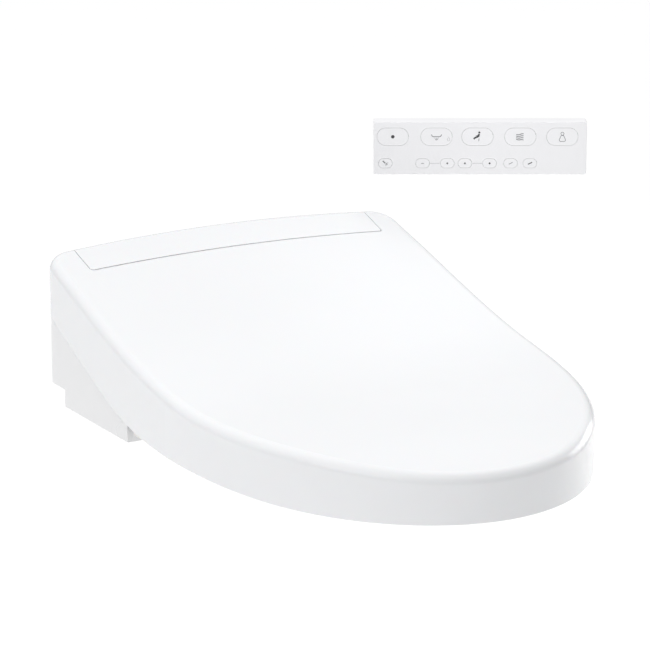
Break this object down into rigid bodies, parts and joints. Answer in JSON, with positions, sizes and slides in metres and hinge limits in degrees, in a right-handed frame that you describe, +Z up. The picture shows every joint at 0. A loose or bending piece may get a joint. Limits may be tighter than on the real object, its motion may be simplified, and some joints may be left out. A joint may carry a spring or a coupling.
{
  "type": "electric bidet seat",
  "caption": "White wedge-shaped electric bidet seat with a lifting lid and seat, sliding wash wand, dryer and a flat remote in a wall cradle.",
  "frame": {"origin": "midway between the two bowl bolt slots, on the bowl's top plane", "axes": "+X to the right seen from the front, -Y towards the seat's front tip, +Z up"},
  "size_m": [0.5707, 0.5922, 0.2069],
  "materials": {
    "white_gloss": "moulded gloss",
    "white_base": "moulded gloss",
    "white_seat": "moulded gloss",
    "white_satin": "moulded satin",
    "grey_moulding": "moulded matt",
    "grey_rubber": "matt",
    "white_rubber": "matt",
    "steel": "ground",
    "wand_chrome": "polished",
    "brass": "turned",
    "black_plastic": "moulded matt",
    "circuit": "solder mask",
    "copper": "enamelled wire",
    "foil": "rolled foil",
    "battery": "printed sleeve",
    "remote_white": "moulded satin gloss",
    "key_white": "moulded satin gloss",
    "clear_blue": "moulded"
  },
  "bodies": {
    "bracket": {"bracket_plate": "grey_moulding", "remote_cradle": "white_satin"},
    "base": {"base_casing": "white_base", "rear_panel": "white_gloss", "upper_casing": "white_base", "casing_screws": "steel", "base_feet": "grey_rubber", "hinge_blocks": "grey_moulding", "lid_damper": "black_plastic", "seat_damper": "black_plastic", "button_spring": "steel", "wand_guide": "grey_moulding", "wand_motor": "foil", "dryer_housing": "black_plastic", "dryer_motor": "foil", "dryer_duct": "white_satin", "dryer_heater": "foil", "water_inlet": "brass", "solenoid_valve": "white_satin", "valve_coil": "copper", "water_tube": "clear_blue", "heater_tank": "white_satin", "heating_element": "steel", "pump_head": "black_plastic", "pump_motor": "foil", "control_board": "circuit", "power_board": "circuit", "cord_gland": "grey_rubber"},
    "seat": {"seat_top": "white_seat", "seat_bottom": "white_seat", "seat_heater": "foil", "seat_bumpers": "white_rubber", "seat_shaft": "steel"},
    "lid": {"lid_shell": "white_gloss", "lid_liner": "white_gloss", "lid_bumpers": "white_rubber", "lid_shaft": "steel"},
    "wand": {"wash_wand": "white_satin", "wand_tip": "wand_chrome"},
    "pinion": {"drive_pinion": "black_plastic"},
    "impeller": {"dryer_impeller": "black_plastic"},
    "flap": {"dryer_flap": "white_satin"},
    "button": {"release_button": "white_satin"},
    "remote": {"remote_front": "remote_white", "remote_back": "remote_white", "remote_board": "circuit", "batteries": "battery"},
    "cover": {"battery_cover": "remote_white"},
    "stop_key_cap": {"stop_key": "key_white"},
    "rear_wash_key_cap": {"rear_wash_key": "key_white"},
    "front_wash_key_cap": {"front_wash_key": "key_white"},
    "dryer_key_cap": {"dryer_key": "key_white"},
    "user_key_cap": {"user_key": "key_white"},
    "nozzle_clean_key_cap": {"nozzle_clean_key": "key_white"},
    "pressure_down_key_cap": {"pressure_down_key": "key_white"},
    "pressure_up_key_cap": {"pressure_up_key": "key_white"},
    "position_back_key_cap": {"position_back_key": "key_white"},
    "position_forward_key_cap": {"position_forward_key": "key_white"},
    "temperature_down_key_cap": {"temperature_down_key": "key_white"},
    "temperature_up_key_cap": {"temperature_up_key": "key_white"}
  },
  "joints": [
    {"name": "unit_slide", "type": "slide", "parent": "bracket", "child": "base", "axis": [0, -1, 0], "range_m": [0, 0.075]},
    {"name": "seat_lift", "type": "hinge", "parent": "base", "child": "seat", "pos_m": [0, 0.062, 0.12], "axis": [1, 0, 0], "range_deg": [-100, 0]},
    {"name": "lid_open", "type": "hinge", "parent": "seat", "child": "lid", "pos_m": [0, 0.062, 0.12], "axis": [-1, 0, 0], "range_deg": [0, 105]},
    {"name": "wand_extend", "type": "slide", "parent": "base", "child": "wand", "axis": [0, -0.8192, -0.5736], "range_m": [0, 0.10996]},
    {"name": "pinion_spin", "type": "hinge", "parent": "base", "child": "pinion", "pos_m": [0, -0.0853, 0.03736], "axis": [-1, 0, 0], "range_deg": [0, 788]},
    {"name": "impeller_spin", "type": "hinge", "parent": "base", "child": "impeller", "pos_m": [0.092, -0.017, 0.035], "axis": [0, 0, 1], "continuous": true},
    {"name": "flap_swing", "type": "hinge", "parent": "base", "child": "flap", "pos_m": [0.075, -0.1005, 0.0194], "axis": [-1, 0, 0], "range_deg": [0, 60]},
    {"name": "release_press", "type": "slide", "parent": "base", "child": "button", "axis": [-1, 0, 0], "range_m": [0, 0.003], "stiffness_N_per_m": 400, "springref_m": -0.002, "deforming": ["button_spring"]},
    {"name": "remote_lift", "type": "slide", "parent": "bracket", "child": "remote", "axis": [0, 0, 1], "range_m": [0, 0.045]},
    {"name": "cover_slide", "type": "slide", "parent": "remote", "child": "cover", "axis": [-0.8746, 0.4848, 0], "range_m": [0, 0.02]},
    {"name": "stop_key_press", "type": "slide", "parent": "remote", "child": "stop_key_cap", "axis": [0.4848, 0.8746, 0], "range_m": [0, 0.001], "stiffness_N_per_m": 500, "springref_m": -0.0006},
    {"name": "rear_wash_key_press", "type": "slide", "parent": "remote", "child": "rear_wash_key_cap", "axis": [0.4848, 0.8746, 0], "range_m": [0, 0.001], "stiffness_N_per_m": 500, "springref_m": -0.0006},
    {"name": "front_wash_key_press", "type": "slide", "parent": "remote", "child": "front_wash_key_cap", "axis": [0.4848, 0.8746, 0], "range_m": [0, 0.001], "stiffness_N_per_m": 500, "springref_m": -0.0006},
    {"name": "dryer_key_press", "type": "slide", "parent": "remote", "child": "dryer_key_cap", "axis": [0.4848, 0.8746, 0], "range_m": [0, 0.001], "stiffness_N_per_m": 500, "springref_m": -0.0006},
    {"name": "user_key_press", "type": "slide", "parent": "remote", "child": "user_key_cap", "axis": [0.4848, 0.8746, 0], "range_m": [0, 0.001], "stiffness_N_per_m": 500, "springref_m": -0.0006},
    {"name": "nozzle_clean_key_press", "type": "slide", "parent": "remote", "child": "nozzle_clean_key_cap", "axis": [0.4848, 0.8746, 0], "range_m": [0, 0.001], "stiffness_N_per_m": 500, "springref_m": -0.0006},
    {"name": "pressure_down_key_press", "type": "slide", "parent": "remote", "child": "pressure_down_key_cap", "axis": [0.4848, 0.8746, 0], "range_m": [0, 0.001], "stiffness_N_per_m": 500, "springref_m": -0.0006},
    {"name": "pressure_up_key_press", "type": "slide", "parent": "remote", "child": "pressure_up_key_cap", "axis": [0.4848, 0.8746, 0], "range_m": [0, 0.001], "stiffness_N_per_m": 500, "springref_m": -0.0006},
    {"name": "position_back_key_press", "type": "slide", "parent": "remote", "child": "position_back_key_cap", "axis": [0.4848, 0.8746, 0], "range_m": [0, 0.001], "stiffness_N_per_m": 500, "springref_m": -0.0006},
    {"name": "position_forward_key_press", "type": "slide", "parent": "remote", "child": "position_forward_key_cap", "axis": [0.4848, 0.8746, 0], "range_m": [0, 0.001], "stiffness_N_per_m": 500, "springref_m": -0.0006},
    {"name": "temperature_down_key_press", "type": "slide", "parent": "remote", "child": "temperature_down_key_cap", "axis": [0.4848, 0.8746, 0], "range_m": [0, 0.001], "stiffness_N_per_m": 500, "springref_m": -0.0006},
    {"name": "temperature_up_key_press", "type": "slide", "parent": "remote", "child": "temperature_up_key_cap", "axis": [0.4848, 0.8746, 0], "range_m": [0, 0.001], "stiffness_N_per_m": 500, "springref_m": -0.0006}
  ],
  "couplings": [
    {"joint": "pinion_spin", "follows": "wand_extend", "rad_per_m": 125}
  ]
}
